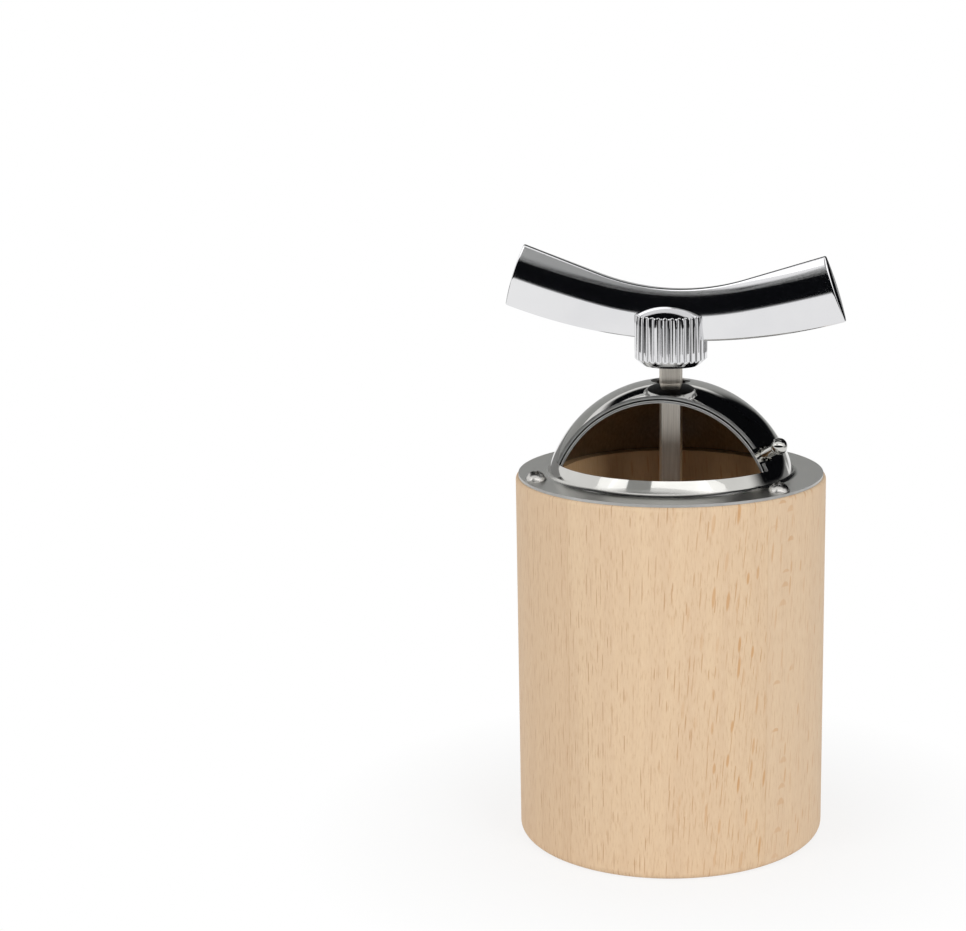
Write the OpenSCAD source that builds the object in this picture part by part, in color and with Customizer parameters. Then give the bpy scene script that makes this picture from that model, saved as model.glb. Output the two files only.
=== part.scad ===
// Hand cranked flaxseed mill: a beech cylinder with a steel burr set in its foot,
// a square drive shaft up its middle, a domed steel cover with a turning shutter,
// and a wing handle on a fluted hub. Origin at the middle of the foot, +Z up,
// filling window facing -Y.

/* [Body] */
// Outside diameter of the wooden body
body_d = 68; // [64:0.5:76]
// Height of the wooden body
body_h = 81; // [76:0.5:100]
// Rounding of the body's lower edge
foot_round = 1.6; // [0.8:0.1:3]
// Rounding of the body's upper edge
rim_round = 0.8; // [0.3:0.1:1]
// Diameter of the seed hopper
hopper_d = 49; // [47:0.5:50]
// Height of the flat ledge on which the bridge sits
ledge_z = 26; // [25:0.5:30]
// Height of the sloping funnel above the ledge
funnel_h = 7.5; // [5:0.5:12]
// Diameter of the throat between hopper and burrs
throat_d = 34; // [31:0.5:36]

/* [Cover] */
// Diameter of the flat flange of the cover
flange_d = 66.8; // [66:0.2:67.4]
// Thickness of the cover's sheet steel
sheet = 0.6; // [0.5:0.1:0.8]
// Radius of the dome's sphere
dome_r = 28.1; // [27.5:0.1:28.2]
// Height of the dome above the flange
dome_h = 20.3; // [19.3:0.1:21.5]
// Outside radius of the bend between dome and flange
bend_r = 1.5; // [1:0.1:1.8]
// Height of the lip left below the filling window
lip_h = 3.2; // [2.5:0.1:3.5]
// Distance of the window's plane from the axis, at the top of the lip
window_y = 11.8; // [11:0.1:12.4]
// Backward lean of the window's plane
window_lean = 6; // [0:1:8]
// Diameter of the dome's top hole
dome_hole_d = 8.7; // [8.5:0.1:9.6]

/* [Shutter] */
// Thickness of the shutter's sheet steel
shutter_sheet = 0.5; // [0.4:0.1:0.7]
// Gap between the dome and the shutter inside it
shutter_gap = 0.25; // [0.2:0.05:0.4]
// Strip of the open shutter that shows past the window's edge
reveal = 0.2; // [0.1:0.1:0.6]
// Gap between the shutter's foot and the wood
shutter_foot_gap = 0.5; // [0.3:0.1:0.8]
// Height of the shutter's knob above the flange
knob_z = 6.5; // [6.2:0.1:8]
// Diameter of the knob's stem
knob_d = 2.5; // [1.8:0.1:2.6]
// Distance of the knob's middle behind the window's plane
knob_back = 1.5; // [1.4:0.1:2]
// Width of the notch that takes the knob
notch_w = 3.6; // [3.4:0.1:4]
// Diameter of the knob's ball head
knob_head_d = 3.6; // [3:0.1:4]
// Reach of the knob's ball centre outside the dome
knob_reach = 4; // [3.5:0.1:6]
// Diameter of the knob's riveted tail
knob_tail_d = 3; // [2.8:0.1:3.2]

/* [Shaft] */
// Width across the flats of the square shaft
shaft_af = 5; // [4.6:0.1:5.2]
// Diameter over the shaft's turned corners
shaft_corner_d = 6.4; // [6:0.1:6.5]
// Thread diameter of the shaft's lower end
tail_d = 4.8; // [4:0.1:4.9]
// Height of the shaft's lower end above the table
tail_z = 2; // [1:0.1:2.4]
// Wall of the plain bushes round the shaft
bush_wall = 1.05; // [0.9:0.05:1.2]
// Diameter of the bushes' flanges
bush_flange_d = 12.4; // [11.6:0.2:13.6]
// Thickness of the bushes' flanges
bush_flange_t = 1.2; // [0.8:0.1:1.6]

/* [Handle] */
// Height of the hub's lower face above the dome's top
hub_lift = 3.2; // [2.5:0.1:5]
// Diameter of the fluted hub
hub_d = 15.8; // [14:0.2:18]
// Height of the hub up to the edge of its domed top
hub_h = 10.9; // [10.4:0.1:12]
// Rise of the hub's domed top
hub_crown = 1.9; // [1:0.1:2.5]
// Chamfer under the hub
hub_chamfer = 1.6; // [1:0.1:2]
// Number of flutes on the hub
flutes = 32; // [28:1:38]
// Depth of each flute
flute_depth = 0.4; // [0.3:0.05:0.5]
// Depth of the hub's square socket
socket_h = 5; // [4:0.1:5.2]
// Depth to which the wing is sunk in the hub
wing_sink = 5.5; // [5:0.1:5.7]
// Height of the wing at its middle
wing_h = 11.2; // [9:0.1:13]
// Radius of the wing's upper edge at its middle
wing_top_r = 55; // [48:1:70]
// Slope of the wing's upper edge towards its ends
wing_flank = 17.8; // [15:0.2:20]
// Radius of the wing's lower edge
wing_low_r = 134; // [110:1:170]
// Half length of the wing at its upper corners
wing_half = 34.5; // [28:0.5:38]
// Slant of the wing's ends
wing_slant = 19; // [10:1:24]
// Greatest thickness of the wing
wing_t = 3.4; // [3:0.1:4.5]
// Radius of the wing's bulging faces
wing_face_r = 24; // [22:1:50]
// Turn of the handle at rest, seen from above
crank_rest = -10.5; // [-45:0.5:45]
// Turn of the shaft's flats against the wing
shaft_set = 20.5; // [0:0.5:45]

/* [Burrs] */
// Outside diameter of the fixed burr
stator_d = 38; // [36:0.2:40]
// Height of the fixed burr
stator_h = 16; // [14:0.5:18]
// Lower bore diameter of the fixed burr
stator_low_d = 32.3; // [30:0.1:33]
// Upper bore diameter of the fixed burr
stator_top_d = 28.6; // [26:0.1:29.6]
// Teeth of the fixed burr
stator_teeth = 30; // [24:1:36]
// Gap between the burrs where they grind
grind_gap = 0.35; // [0.25:0.05:0.8]
// Height of the turning burr
rotor_h = 12; // [10:0.5:13]
// Upper diameter of the turning burr
rotor_top_d = 16.4; // [15:0.2:18]
// Teeth of the turning burr
rotor_teeth = 12; // [9:1:14]
// Lean of the turning burr's teeth
rotor_lean = 28; // [15:1:35]
// Diameter of the base ring's plate
base_d = 53.6; // [52:0.2:55]
// Thickness of the base ring and washers' plate
base_t = 1.2; // [1:0.1:1.6]
// Height of the wood's counterbore for the base ring
base_recess = 5; // [4.6:0.1:5.6]

/* [Bridge and spring] */
// Width of the bridge
bridge_w = 11; // [10:0.5:13]
// Thickness of the bridge
bridge_t = 2; // [1.5:0.1:2.5]
// Distance of the bridge's screws from the axis
bridge_screw_x = 21; // [20.5:0.1:21.5]
// Wire diameter of the spring
spring_wire = 1; // [0.8:0.1:1.1]
// Mean diameter of the spring
spring_d = 8.8; // [8.6:0.1:9.6]
// Turns of the spring
spring_turns = 3.5; // [2.5:0.5:3.5]
// Thickness of the plain washers
washer_t = 0.8; // [0.6:0.1:1]

/* [Screws] */
// Circle on which the cover's screws stand
cover_screw_circle = 61; // [60.8:0.1:61.4]
// Turn of the cover's screws against the window
cover_screw_turn = -2; // [-10:1:10]
// Circle on which the base ring's screws stand
base_screw_circle = 45; // [44:0.2:46]
// Head diameter of the screws
screw_head_d = 4.6; // [4:0.1:4.7]
// Head height of the screws
screw_head_h = 1.9; // [1.5:0.1:2.2]
// Width of the arms of the screws' cross recess
recess_w = 0.75; // [0.5:0.05:1]
// Span of the screws' cross recess
recess_span = 2.6; // [2:0.1:3]
// Depth of the screws' cross recess
recess_depth = 1; // [0.6:0.1:1.2]
// Shank diameter of the screws
screw_d = 2.4; // [2:0.1:2.6]
// Length of the screws' shanks
screw_len = 10; // [8:0.5:14]
// Wood left between the bridge screws' tips and the fixed burr
bridge_screw_clear = 0.6; // [0.4:0.1:1]

/* [Clearances] */
// Gap between pieces that are fixed together
fit = 0.02; // [0.01:0.01:0.05]
// Radial gap of a running fit
running = 0.05; // [0.03:0.01:0.1]
// Gap between pieces that move past each other
free_gap = 0.3; // [0.2:0.05:0.5]

/* [Hidden] */
$fn = 96;
eps = 0.01;
far = 200;
half_turn = 180;
overlap = 0.05;

// Heights along the axis
top_z = body_h + sheet;
dome_c = dome_h - dome_r;
dome_top_z = top_z + dome_h;
hub_z = dome_top_z + hub_lift;
shoulder_z = hub_z + hub_h;
wing_z = shoulder_z - wing_sink;
stator_top_z = base_recess + stator_h;
funnel_z = ledge_z + funnel_h;
bridge_z = ledge_z;
flange_z = bridge_z + bridge_t;
thrust_z = flange_z + bush_flange_t + running;
clip_z = thrust_z + washer_t;
spring_seat_z = bridge_z - running - washer_t;
bridge_screw_len = ledge_z - stator_top_z - bridge_screw_clear;

// The bend's centre, tangent to the flange's top and to the dome
bend_x = sqrt(pow(dome_r + bend_r, 2) - pow(bend_r - dome_c, 2));
bend_angle = atan2(bend_r - dome_c, bend_x);
bend_lap = 1;

// Shutter and knob
shutter_r = dome_r - sheet - shutter_gap;
shutter_in_r = shutter_r - shutter_sheet;
shutter_foot_z = shutter_foot_gap - sheet;
knob_polar = acos((knob_z - dome_c) / dome_r);
knob_window_y = window_y - (knob_z - lip_h) * tan(window_lean);
knob_y = knob_window_y - knob_back;
knob_azimuth = -asin(knob_y / (dome_r * sin(knob_polar)));
inner_knob_r = (dome_r - sheet) * sin(knob_polar);
stop_azimuth = asin(knob_window_y / inner_knob_r) + asin((knob_d / 2 + free_gap) / inner_knob_r) - half_turn;
shutter_travel = knob_azimuth - stop_azimuth;
echo(shutter_travel = shutter_travel);

// Bushes
bore_r = shaft_corner_d / 2 + running;
bush_r = bore_r + bush_wall;
dome_bush_r = dome_hole_d / 2 - fit;
dome_edge_z = sqrt(pow(dome_r, 2) - pow(dome_hole_d / 2, 2)) + dome_c;
dome_flange_z = sqrt(pow(shutter_in_r, 2) - pow(bush_flange_d / 2, 2)) + dome_c - free_gap;
bush_recess = 0.35;

// Hub
crown_r = (pow(hub_d / 2, 2) + pow(hub_crown, 2)) / (2 * hub_crown);
flute_r = 0.62;

// Wing: its upper edge is an arc with straight flanks, and its faces are revolved about
// an arc midway between its edges
wing_flank_x = wing_top_r * sin(wing_flank);
wing_flank_rise = wing_top_r * (1 - cos(wing_flank));
wing_top_rise = wing_flank_rise + (wing_half - wing_flank_x) * tan(wing_flank);
wing_low_rise = wing_low_r - sqrt(pow(wing_low_r, 2) - pow(wing_half, 2));
wing_mid_rise = (wing_top_rise + wing_low_rise) / 2;
wing_mid_r = (pow(wing_half, 2) + pow(wing_mid_rise, 2)) / (2 * wing_mid_rise);
wing_mid_z = wing_z + wing_h / 2;
wing_top_z = wing_z + wing_h;

// Burrs
rotor_low_z = base_recess + 1.5;
rotor_top_z = rotor_low_z + rotor_h;
rotor_low_d = stator_bore(rotor_low_z) - 2 * grind_gap;
nut_af = 8;
nut_h = 2.7;
rotor_washer_d = 11;
groove_d = 4.4;
clip_t = 0.7;
clip_d = 9.6;

// Spring
spring_low_z = rotor_top_z + spring_wire / 2;
spring_high_z = spring_seat_z - spring_wire / 2;
spring_rings = 16;
spring_sides = 6;

function stator_bore(z) =
    stator_low_d + (stator_top_d - stator_low_d) * (z - base_recess) / stator_h;

// Shared shapes

// What a rounding of radius r takes off the corner of a square at the origin
module corner_waste(r) {
    difference() {
        translate([-r, -r]) square([r + eps, r + eps]);
        translate([-r, -r]) circle(r);
    }
}

// A ring of rectangular section
module ring(outer_d, inner_d, height) {
    difference() {
        cylinder(d = outer_d, h = height);
        translate([0, 0, -eps]) cylinder(d = inner_d, h = height + 2 * eps);
    }
}

// The square shaft's section, grown by a gap on every side
module shaft_section(gap) {
    intersection() {
        square(shaft_af + 2 * gap, center = true);
        circle(d = shaft_corner_d + 2 * gap);
    }
}

// A round-headed cross-recess screw, head up, with its seat at the origin
module screw(length) {
    dome = (pow(screw_head_d / 2, 2) + pow(screw_head_h, 2)) / (2 * screw_head_h);
    difference() {
        union() {
            intersection() {
                cylinder(d = screw_head_d, h = screw_head_h);
                translate([0, 0, screw_head_h - dome]) sphere(dome);
            }
            translate([0, 0, -length]) cylinder(d = screw_d, h = length + eps);
        }
        for (turn = [0, 90])
            rotate(turn) translate([0, 0, screw_head_h])
                cube([recess_span, recess_w, 2 * recess_depth], center = true);
    }
}

// Places children on a screw circle, three of them, one at the back
module on_circle(circle_d) {
    for (i = [0:2]) rotate(90 + 120 * i) translate([circle_d / 2, 0, 0]) children();
}

// A flanged plain bush, flange down, with its flange's foot at the origin
module flanged_bush(spigot_r, spigot_h) {
    difference() {
        union() {
            cylinder(d = bush_flange_d, h = bush_flange_t);
            cylinder(r = spigot_r, h = bush_flange_t + spigot_h);
        }
        translate([0, 0, -eps]) cylinder(r = bore_r, h = bush_flange_t + spigot_h + 2 * eps);
    }
}

// Turns children so that +Z points out of the dome along the knob's stem
module along_knob(azimuth) {
    translate([0, 0, top_z + dome_c]) rotate([0, knob_polar, azimuth]) children();
}

// Body

module wood_body() {
    body_r = body_d / 2;
    color("burlywood") difference() {
        rotate_extrude() difference() {
            square([body_r, body_h]);
            translate([body_r, body_h]) corner_waste(rim_round);
            translate([body_r, 0]) mirror([0, 1]) corner_waste(foot_round);
        }
        translate([0, 0, -eps]) cylinder(d = base_d + 2 * free_gap, h = base_recess + eps);
        cylinder(d = stator_d + 2 * running, h = stator_top_z);
        cylinder(d = throat_d, h = body_h);
        translate([0, 0, ledge_z]) cylinder(d1 = throat_d, d2 = hopper_d, h = funnel_h);
        translate([0, 0, funnel_z - eps]) cylinder(d = hopper_d, h = body_h);
        bridge_pocket();
        rotate(cover_screw_turn) on_circle(cover_screw_circle) translate([0, 0, body_h - screw_len - free_gap])
            cylinder(d = screw_d + 2 * fit, h = screw_len + 1);
        on_circle(base_screw_circle) translate([0, 0, base_recess - 1])
            cylinder(d = screw_d + 2 * fit, h = screw_len - base_t + free_gap + 1);
        for (side = [-1, 1])
            translate([side * bridge_screw_x, 0, bridge_z - bridge_screw_len - free_gap])
                cylinder(d = screw_d + 2 * fit, h = bridge_screw_len + 1);
    }
}

// Flat seats that the bridge's two ends need in the funnel
module bridge_pocket() {
    intersection() {
        translate([0, 0, ledge_z + body_h / 2])
            cube([far, bridge_w + 2 * free_gap, body_h], center = true);
        translate([0, 0, ledge_z]) cylinder(d = hopper_d, h = body_h);
    }
}

// Cover

// The cover's sheet in section: dome, bend and flange at one thickness
module cover_section() {
    intersection() {
        translate([0, dome_c]) difference() {
            circle(dome_r);
            circle(dome_r - sheet);
        }
        translate([0, dome_c])
            polygon([[0, 0], far * [cos(bend_angle), sin(bend_angle)], [far, far], [0, far]]);
    }
    intersection() {
        translate([bend_x, bend_r]) difference() {
            circle(bend_r + sheet);
            circle(bend_r);
        }
        translate([bend_x, bend_r])
            polygon([[0, 0], [0, -far], -far * [cos(bend_angle - bend_lap), sin(bend_angle - bend_lap)]]);
    }
    translate([bend_x - overlap, -sheet]) square([flange_d / 2 - bend_x + overlap, sheet]);
}

// All that lies further forward than a strip in front of the window's plane
module before_window(strip) {
    translate([0, -window_y - strip, top_z + lip_h]) rotate([-window_lean, 0, 0])
        translate([-far / 2, -far, -far / 2]) cube(far);
}

module dome_cover() {
    color("silver") difference() {
        translate([0, 0, top_z]) rotate_extrude() cover_section();
        intersection() {
            before_window(0);
            translate([-far / 2, -far, top_z + lip_h]) cube(far);
        }
        translate([0, 0, top_z]) cylinder(d = dome_hole_d, h = far);
        along_knob(knob_azimuth) translate([-notch_w / 2, -2 * notch_w, dome_r - 2 * notch_w])
            cube([notch_w, 2.5 * notch_w, 4 * notch_w]);
        rotate(cover_screw_turn) on_circle(cover_screw_circle) translate([0, 0, body_h - 1])
            cylinder(d = screw_d + 2 * running, h = sheet + 2);
    }
}

module cover_screws() {
    color("gainsboro") rotate(cover_screw_turn) on_circle(cover_screw_circle)
        translate([0, 0, top_z]) screw(screw_len + sheet);
}

module dome_bush() {
    spigot_h = dome_edge_z - bush_recess - dome_flange_z;
    color("saddlebrown") translate([0, 0, top_z + dome_flange_z - bush_flange_t])
        flanged_bush(dome_bush_r, spigot_h);
}

// Shutter

module shutter() {
    color("lightgray") difference() {
        intersection() {
            translate([0, 0, top_z + dome_c]) difference() {
                sphere(shutter_r);
                sphere(shutter_in_r);
            }
            translate([0, 0, top_z + shutter_foot_z]) cylinder(r = far, h = far);
        }
        before_window(reveal);
        translate([0, 0, top_z]) cylinder(r = dome_bush_r + 2 * running, h = far);
        along_knob(knob_azimuth) cylinder(d = knob_d + 2 * fit, h = far);
    }
}

// Ball-headed knob, riveted through the shutter
module shutter_knob() {
    tail_t = 0.6;
    tail_r = sqrt(pow(shutter_in_r, 2) - pow(knob_tail_d / 2, 2)) - fit - tail_t;
    color("silver") along_knob(knob_azimuth) {
        translate([0, 0, tail_r]) cylinder(d = knob_tail_d, h = tail_t);
        translate([0, 0, tail_r]) cylinder(d = knob_d, h = dome_r + knob_reach - tail_r);
        translate([0, 0, dome_r + knob_reach]) sphere(d = knob_head_d);
    }
}

// Crank

module drive_shaft() {
    color("lightsteelblue") rotate(crank_rest + shaft_set) difference() {
        union() {
            translate([0, 0, tail_z]) cylinder(d = tail_d, h = rotor_low_z - tail_z + eps);
            translate([0, 0, rotor_low_z])
                linear_extrude(hub_z + socket_h - rotor_low_z) shaft_section(0);
        }
        translate([0, 0, clip_z - running / 2])
            ring(2 * shaft_corner_d, groove_d, clip_t + running);
    }
}

// The hub turned and fluted, then slotted for the wing and socketed for the shaft
module fluted_hub() {
    hub_r = hub_d / 2;
    color("gainsboro") rotate(crank_rest) difference() {
        translate([0, 0, hub_z]) intersection() {
            rotate_extrude() polygon([
                [0, 0], [hub_r - hub_chamfer, 0], [hub_r, hub_chamfer],
                [hub_r, hub_h + hub_crown], [0, hub_h + hub_crown]
            ]);
            translate([0, 0, hub_h + hub_crown - crown_r]) sphere(crown_r);
        }
        for (i = [0:flutes - 1])
            rotate(360 * i / flutes) translate([hub_r + flute_r - flute_depth, 0, hub_z - 1])
                cylinder(r = flute_r, h = hub_h + hub_crown + 2, $fn = 24);
        translate([0, 0, hub_z - eps]) rotate(shaft_set)
            linear_extrude(socket_h + fit + eps) shaft_section(fit);
        wing_solid(fit);
    }
}

// The wing's outline seen from the front, between two arcs and two slanted ends
module wing_outline(gap) {
    corner_rise = wing_h + wing_top_rise;
    foot_x = wing_half + corner_rise * tan(wing_slant);
    peak = 2 * corner_rise;
    peak_x = foot_x - peak * tan(wing_slant);
    foot_z = wing_z - gap;
    intersection() {
        translate([0, wing_z - gap + wing_low_r]) circle(wing_low_r, $fn = 192);
        polygon([[-foot_x, foot_z], [foot_x, foot_z], [peak_x, wing_z + peak], [-peak_x, wing_z + peak]]);
    }
}

// The bulging section of the wing, standing on its radius from the long curve's centre
module wing_section(gap) {
    sink = wing_face_r - wing_t / 2 - gap;
    intersection() {
        translate([wing_mid_r, sink]) circle(wing_face_r, $fn = 192);
        translate([wing_mid_r, -sink]) circle(wing_face_r, $fn = 192);
    }
}

// What the wing's upper edge leaves free: a round hollow with straight flanks
module wing_hollow() {
    brim_x = 2 * wing_half;
    brim_rise = wing_flank_rise + (brim_x - wing_flank_x) * tan(wing_flank);
    translate([0, wing_top_r]) circle(wing_top_r, $fn = 192);
    polygon([
        [-wing_flank_x, wing_flank_rise], [wing_flank_x, wing_flank_rise],
        [brim_x, brim_rise], [-brim_x, brim_rise]
    ]);
}

module wing_solid(gap) {
    difference() {
        intersection() {
            translate([0, 0, wing_mid_z + wing_mid_r]) rotate([90, 0, 0])
                rotate_extrude($fn = 192) wing_section(gap);
            rotate([90, 0, 0]) linear_extrude(4 * wing_t, center = true) wing_outline(gap);
        }
        translate([0, 0, wing_top_z]) rotate([90, 0, 0])
            linear_extrude(4 * wing_t, center = true) wing_hollow();
    }
}

module wing_handle() {
    color("gainsboro") rotate(crank_rest) wing_solid(0);
}

// Bridge

module shaft_bridge() {
    color("darkgray") difference() {
        translate([0, 0, bridge_z]) intersection() {
            translate([0, 0, bridge_t / 2]) cube([far, bridge_w, bridge_t], center = true);
            cylinder(d = hopper_d - 2 * free_gap, h = bridge_t);
        }
        translate([0, 0, bridge_z - 1]) cylinder(r = bush_r + fit, h = bridge_t + 2);
        for (side = [-1, 1]) translate([side * bridge_screw_x, 0, bridge_z - 1])
            cylinder(d = screw_d + 2 * running, h = bridge_t + 2);
    }
}

module bridge_bush() {
    color("peru") translate([0, 0, flange_z + bush_flange_t]) mirror([0, 0, 1])
        flanged_bush(bush_r, bridge_t);
}

module bridge_screws() {
    color("gainsboro") for (side = [-1, 1]) translate([side * bridge_screw_x, 0, flange_z])
        screw(bridge_screw_len + bridge_t);
}

module thrust_washer() {
    color("tan") translate([0, 0, thrust_z]) ring(bush_flange_d, 2 * bore_r, washer_t);
}

// Snap ring in the shaft's groove, open on one side
module shaft_clip() {
    color("dimgray") translate([0, 0, clip_z]) difference() {
        ring(clip_d, groove_d + 2 * fit, clip_t);
        rotate(crank_rest) translate([0, -groove_d / 3, -1]) cube([clip_d, 2 * groove_d / 3, clip_t + 2]);
    }
}

// Spring and burrs

module spring_seat() {
    color("silver") translate([0, 0, spring_seat_z]) ring(spring_d + 2 * spring_wire, 2 * bore_r, washer_t);
}

function spring_point(i) = let (share = i / (spring_turns * spring_rings), turn = 360 * i / spring_rings)
    [spring_d / 2 * cos(turn), spring_d / 2 * sin(turn),
     spring_low_z + (spring_high_z - spring_low_z) * share];

// One unbroken wire: a ring of corners at each step round the coil
module burr_spring() {
    rings = spring_turns * spring_rings;
    points = [for (i = [0:rings], k = [0:spring_sides - 1])
        let (c = spring_point(i), turn = 360 * i / spring_rings, a = 360 * k / spring_sides)
        c + spring_wire / 2 * [cos(a) * cos(turn), cos(a) * sin(turn), sin(a)]];
    sides = [for (i = [0:rings - 1], k = [0:spring_sides - 1])
        let (n = (k + 1) % spring_sides, low = i * spring_sides, high = low + spring_sides)
        each [[low + k, high + n, low + n], [low + k, high + k, high + n]]];
    last = rings * spring_sides;
    ends = [for (k = [1:spring_sides - 2]) each [[0, k, k + 1], [last, last + k + 1, last + k]]];
    color("slategray") polyhedron(points, concat(sides, ends));
}

pitch_gap = (spring_high_z - spring_low_z) / spring_turns - spring_wire;
echo(spring_least_gap = pitch_gap);

module turning_burr() {
    tooth_w = 2.2;
    tooth_depth = 1.6;
    mid_r = (rotor_low_d + rotor_top_d) / 4;
    slope = atan2((rotor_low_d - rotor_top_d) / 2, rotor_h);
    color("dimgray") rotate(crank_rest) difference() {
        translate([0, 0, rotor_low_z]) cylinder(d1 = rotor_low_d, d2 = rotor_top_d, h = rotor_h);
        translate([0, 0, rotor_low_z - 1]) rotate(shaft_set)
            linear_extrude(rotor_h + 2) shaft_section(fit);
        for (i = [0:rotor_teeth - 1])
            rotate(360 * i / rotor_teeth) translate([mid_r, 0, rotor_low_z + rotor_h / 2])
                rotate([rotor_lean, -slope, 0])
                    cube([2 * tooth_depth, tooth_w, 2 * rotor_h], center = true);
    }
}

module burr_washer() {
    color("silver") translate([0, 0, rotor_low_z - washer_t])
        ring(rotor_washer_d, tail_d + 2 * fit, washer_t);
}

module burr_nut() {
    color("silver") translate([0, 0, rotor_low_z - washer_t - nut_h]) difference() {
        cylinder(d = nut_af / cos(30), h = nut_h, $fn = 6);
        translate([0, 0, -1]) cylinder(d = tail_d + 2 * fit, h = nut_h + 2);
    }
}

// Key seats round the fixed burr's foot, shared by the burr, its keys and the base ring
key_d = 1.6;
key_circle = (stator_d + stator_low_d) / 2;

module at_keys() {
    for (i = [0:2]) rotate(30 + 120 * i) translate([key_circle / 2, 0, 0]) children();
}

module fixed_burr() {
    groove = 1;
    slope = atan2((stator_low_d - stator_top_d) / 2, stator_h);
    color("gray") difference() {
        translate([0, 0, base_recess]) difference() {
            cylinder(d = stator_d, h = stator_h);
            translate([0, 0, -eps])
                cylinder(d1 = stator_low_d, d2 = stator_top_d, h = stator_h + 2 * eps);
        }
        for (i = [0:stator_teeth - 1])
            rotate(360 * i / stator_teeth)
                translate([(stator_low_d + stator_top_d) / 4, 0, base_recess + stator_h / 2])
                    rotate([0, -slope, 0]) rotate(45) cube([groove, groove, 2 * stator_h], center = true);
        at_keys() translate([0, 0, base_recess - 1]) cylinder(d = key_d + 2 * fit, h = 1 + 2 * key_d);
    }
}

// Dowels that keep the fixed burr from turning in the base ring
module burr_keys() {
    color("lightgray") at_keys() translate([0, 0, base_recess - base_t])
        cylinder(d = key_d, h = base_t + 2 * key_d - free_gap);
}

module base_ring() {
    color("silver") difference() {
        translate([0, 0, base_recess - base_t]) ring(base_d, stator_low_d + free_gap, base_t);
        at_keys() cylinder(d = key_d + 2 * fit, h = far);
        on_circle(base_screw_circle) cylinder(d = screw_d + 2 * running, h = far);
    }
}

module base_screws() {
    color("gainsboro") on_circle(base_screw_circle) translate([0, 0, base_recess - base_t])
        mirror([0, 0, 1]) screw(screw_len);
}

wood_body();
dome_cover();
cover_screws();
shutter();
shutter_knob();
dome_bush();
drive_shaft();
fluted_hub();
wing_handle();
shaft_bridge();
bridge_bush();
bridge_screws();
thrust_washer();
shaft_clip();
spring_seat();
burr_spring();
turning_burr();
burr_washer();
burr_nut();
fixed_burr();
burr_keys();
base_ring();
base_screws();
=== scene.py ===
"""Looks of a cranked flaxseed mill: beech body, polished steel cover with a turning shutter,
chromed wing handle on a fluted hub. Metres, origin at the middle of the foot, window facing -Y."""

import math

import bpy
from mathutils import Matrix, Vector


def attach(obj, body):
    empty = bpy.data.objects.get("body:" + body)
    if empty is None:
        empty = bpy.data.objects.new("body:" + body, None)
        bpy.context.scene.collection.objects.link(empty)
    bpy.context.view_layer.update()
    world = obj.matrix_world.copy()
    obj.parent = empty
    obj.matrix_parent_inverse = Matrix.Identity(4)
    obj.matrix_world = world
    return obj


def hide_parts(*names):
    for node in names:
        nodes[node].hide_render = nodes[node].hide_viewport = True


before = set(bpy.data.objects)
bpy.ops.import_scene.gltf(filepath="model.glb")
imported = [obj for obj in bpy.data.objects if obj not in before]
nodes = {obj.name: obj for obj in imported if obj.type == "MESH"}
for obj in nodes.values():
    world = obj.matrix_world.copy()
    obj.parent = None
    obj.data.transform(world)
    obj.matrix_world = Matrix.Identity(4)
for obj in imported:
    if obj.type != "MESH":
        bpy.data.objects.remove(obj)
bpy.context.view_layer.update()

MM = 0.001

# Driving sizes of the solids, in millimetres
BODY_R = 34.0
BODY_H = 81.0
HOPPER_R = 24.5
FLANGE_R = 33.4
SHEET = 0.6                         # the cover's sheet steel
DOME_R = 28.1
DOME_H = 20.3                       # the dome's top above the flange
BEND_R = 1.5                        # bend between dome and flange
LIP_H = 3.2                         # lip left in front of the window
WINDOW_Y = 11.8                     # the window's plane, at the top of the lip
WINDOW_LEAN = math.radians(6)       # how far that plane leans back
HOLE_R = 4.35                       # the dome's top hole
SHUTTER_SHEET = 0.5
SHUTTER_GAP = 0.25                  # between dome and shutter
SHUTTER_FOOT_GAP = 0.5              # between shutter and wood
SHUTTER_HOLE_GAP = 0.08             # how much wider the shutter's top hole is than the dome's
REVEAL = 0.2                        # strip of the shutter in front of the window's edge
KNOB_Z = 6.5                        # where the knob's axis meets the dome, above the flange
KNOB_BACK = 1.5                     # the knob's middle behind the window's plane
KNOB_R = 1.25
KNOB_HEAD_R = 1.8
KNOB_REACH = 4.0                    # the ball's centre outside the dome
KNOB_TAIL_R = 1.5                   # the riveted end inside the shutter
KNOB_TAIL_T = 0.6
NOTCH = 3.6                         # the notch's width
NOTCH_RUN = 9.0                     # length of the block that cuts it
HUB_LIFT = 3.2                      # between the dome's top and the hub
HUB_R = 7.9
HUB_H = 10.9
HUB_CROWN = 1.9                     # rise of the hub's domed top
HUB_CHAMFER = 1.6
FLUTES = 32
FLUTE_R = 0.62
FLUTE_DEPTH = 0.4
WING_SINK = 5.5                     # the wing's lowest point below the hub's rim
WING_H = 11.2                       # height in the middle
WING_TOP_R = 55.0                   # hollow of the upper edge
WING_FLANK = math.radians(17.8)     # slope of the upper edge towards the ends
WING_LOW_R = 134.0                  # bow of the lower edge
WING_HALF = 34.5                    # half length at the upper corners
WING_SLANT = math.tan(math.radians(19))  # run of the slanting ends for each mm of height
WING_T = 3.4
WING_FACE_R = 24.0                  # bulge of the faces
CRANK_REST = math.radians(-10.5)    # the wing's turn at rest, as photographed

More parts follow.
